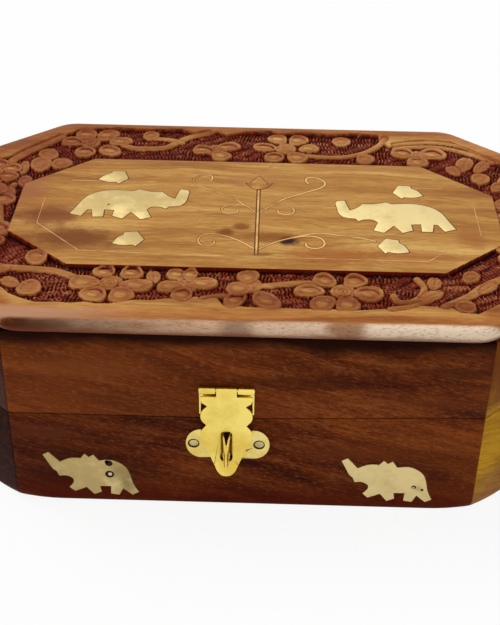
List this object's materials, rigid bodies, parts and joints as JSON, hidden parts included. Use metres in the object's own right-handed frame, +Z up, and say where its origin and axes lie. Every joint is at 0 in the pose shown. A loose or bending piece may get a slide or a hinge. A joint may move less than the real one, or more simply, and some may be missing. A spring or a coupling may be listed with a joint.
{
  "type": "carved wooden box",
  "caption": "Long hardwood box with cut corners, a carved and brass-inlaid hinged lid, inlaid elephants in front and a brass hasp and staple.",
  "frame": {"origin": "middle of the box's underside, on the surface that it stands on", "axes": "+X along the box to the viewer's right, +Y from the front to the back, +Z up; the hasp is on the -Y side"},
  "size_m": [0.254, 0.1571, 0.086],
  "materials": {
    "board": "waxed dark red-brown hardwood",
    "corner_board": "waxed hardwood with golden sapwood",
    "carved_top": "polished golden brown hardwood, carved",
    "lining": "dark red velvet",
    "sheet_inlay": "pale brushed sheet brass",
    "wire_inlay": "brass wire and sheet toned by varnish",
    "hardware": "bright polished brass",
    "nail": "dull plated steel"
  },
  "bodies": {
    "base": {"base_back_left_wall": "corner_board", "base_back_right_wall": "corner_board", "base_back_wall": "board", "base_bottom_board": "board", "base_floor_lining": "lining", "base_front_left_wall": "corner_board", "base_front_right_wall": "corner_board", "base_front_wall": "board", "base_left_wall": "board", "base_right_wall": "board", "base_wall_lining": "lining", "front_elephant_left": "sheet_inlay", "front_elephant_right": "sheet_inlay", "hasp_staple": "hardware", "hinge_left_lower_leaf": "hardware", "hinge_left_lower_screw_1": "hardware", "hinge_left_lower_screw_2": "hardware", "hinge_left_pin": "hardware", "hinge_right_lower_leaf": "hardware", "hinge_right_lower_screw_1": "hardware", "hinge_right_lower_screw_2": "hardware", "hinge_right_pin": "hardware", "staple_plate": "hardware", "staple_plate_nail_left": "nail", "staple_plate_nail_right": "nail"},
    "lid": {"hasp_leaf": "hardware", "hasp_leaf_nail_left": "nail", "hasp_leaf_nail_right": "nail", "hasp_pin": "hardware", "hinge_left_upper_leaf": "hardware", "hinge_left_upper_screw_1": "hardware", "hinge_left_upper_screw_2": "hardware", "hinge_right_upper_leaf": "hardware", "hinge_right_upper_screw_1": "hardware", "hinge_right_upper_screw_2": "hardware", "lid_back_left_wall": "corner_board", "lid_back_right_wall": "corner_board", "lid_back_wall": "board", "lid_carved_plank": "carved_top", "lid_ceiling_lining": "lining", "lid_elephant_left": "sheet_inlay", "lid_elephant_right": "sheet_inlay", "lid_front_left_wall": "corner_board", "lid_front_right_wall": "corner_board", "lid_front_wall": "board", "lid_leaf_back_left": "sheet_inlay", "lid_leaf_back_right": "sheet_inlay", "lid_leaf_front_left": "sheet_inlay", "lid_leaf_front_right": "sheet_inlay", "lid_left_wall": "board", "lid_lotus": "wire_inlay", "lid_right_wall": "board", "lid_stem": "wire_inlay", "lid_vine_lower_left": "wire_inlay", "lid_vine_lower_right": "wire_inlay", "lid_vine_upper_left": "wire_inlay", "lid_vine_upper_right": "wire_inlay", "lid_wall_lining": "lining"},
    "flap": {"hasp_flap": "hardware"}
  },
  "joints": [
    {"name": "lid_hinge", "type": "hinge", "parent": "base", "child": "lid", "pos_m": [0, 0.0714, 0.0428], "axis": [-1, 0, 0], "range_deg": [0, 95]},
    {"name": "flap_hinge", "type": "hinge", "parent": "lid", "child": "flap", "pos_m": [-0.0069, -0.0754, 0.0568], "axis": [-1, 0, 0], "range_deg": [0, 174]}
  ]
}
